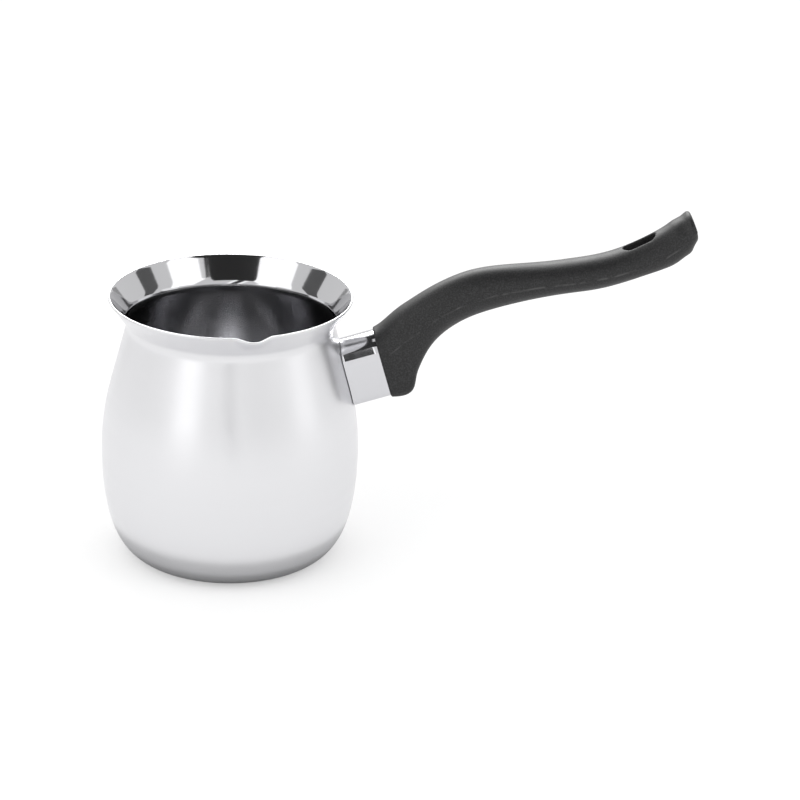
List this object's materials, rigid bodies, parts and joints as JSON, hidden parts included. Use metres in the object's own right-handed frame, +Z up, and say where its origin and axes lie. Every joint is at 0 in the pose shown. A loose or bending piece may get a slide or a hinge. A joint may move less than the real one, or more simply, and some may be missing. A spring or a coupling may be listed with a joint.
{
  "type": "turkish coffee pot",
  "caption": "Bellied steel coffee pot with a flared rim, a small pouring lip and a rising S-curved black handle with a hanging slot.",
  "frame": {"origin": "centre of the base's underside, on the axis of the round pot", "axes": "+Z up along the pot's axis; +X towards the handle, whose middle plane is y = 0; the pouring lip is on the -Y side, 80.5 degrees clockwise from the handle seen from above"},
  "size_m": [0.2428, 0.106, 0.1471],
  "materials": {
    "pot_steel": "polished stainless sheet with very fine turning lines round the pot",
    "guard_steel": "mirror-polished stainless sheet",
    "bracket_steel": "raw stamped stainless strip",
    "fastener_steel": "bright zinc plate",
    "handle_resin": "satin black moulded phenolic resin with a fine grain"
  },
  "bodies": {
    "root": {"pot_body": "pot_steel", "flame_guard": "guard_steel", "handle_bracket": "bracket_steel", "bracket_nut": "fastener_steel", "handle_grip": "handle_resin", "handle_screw": "fastener_steel", "spring_washer": "fastener_steel"}
  },
  "joints": []
}
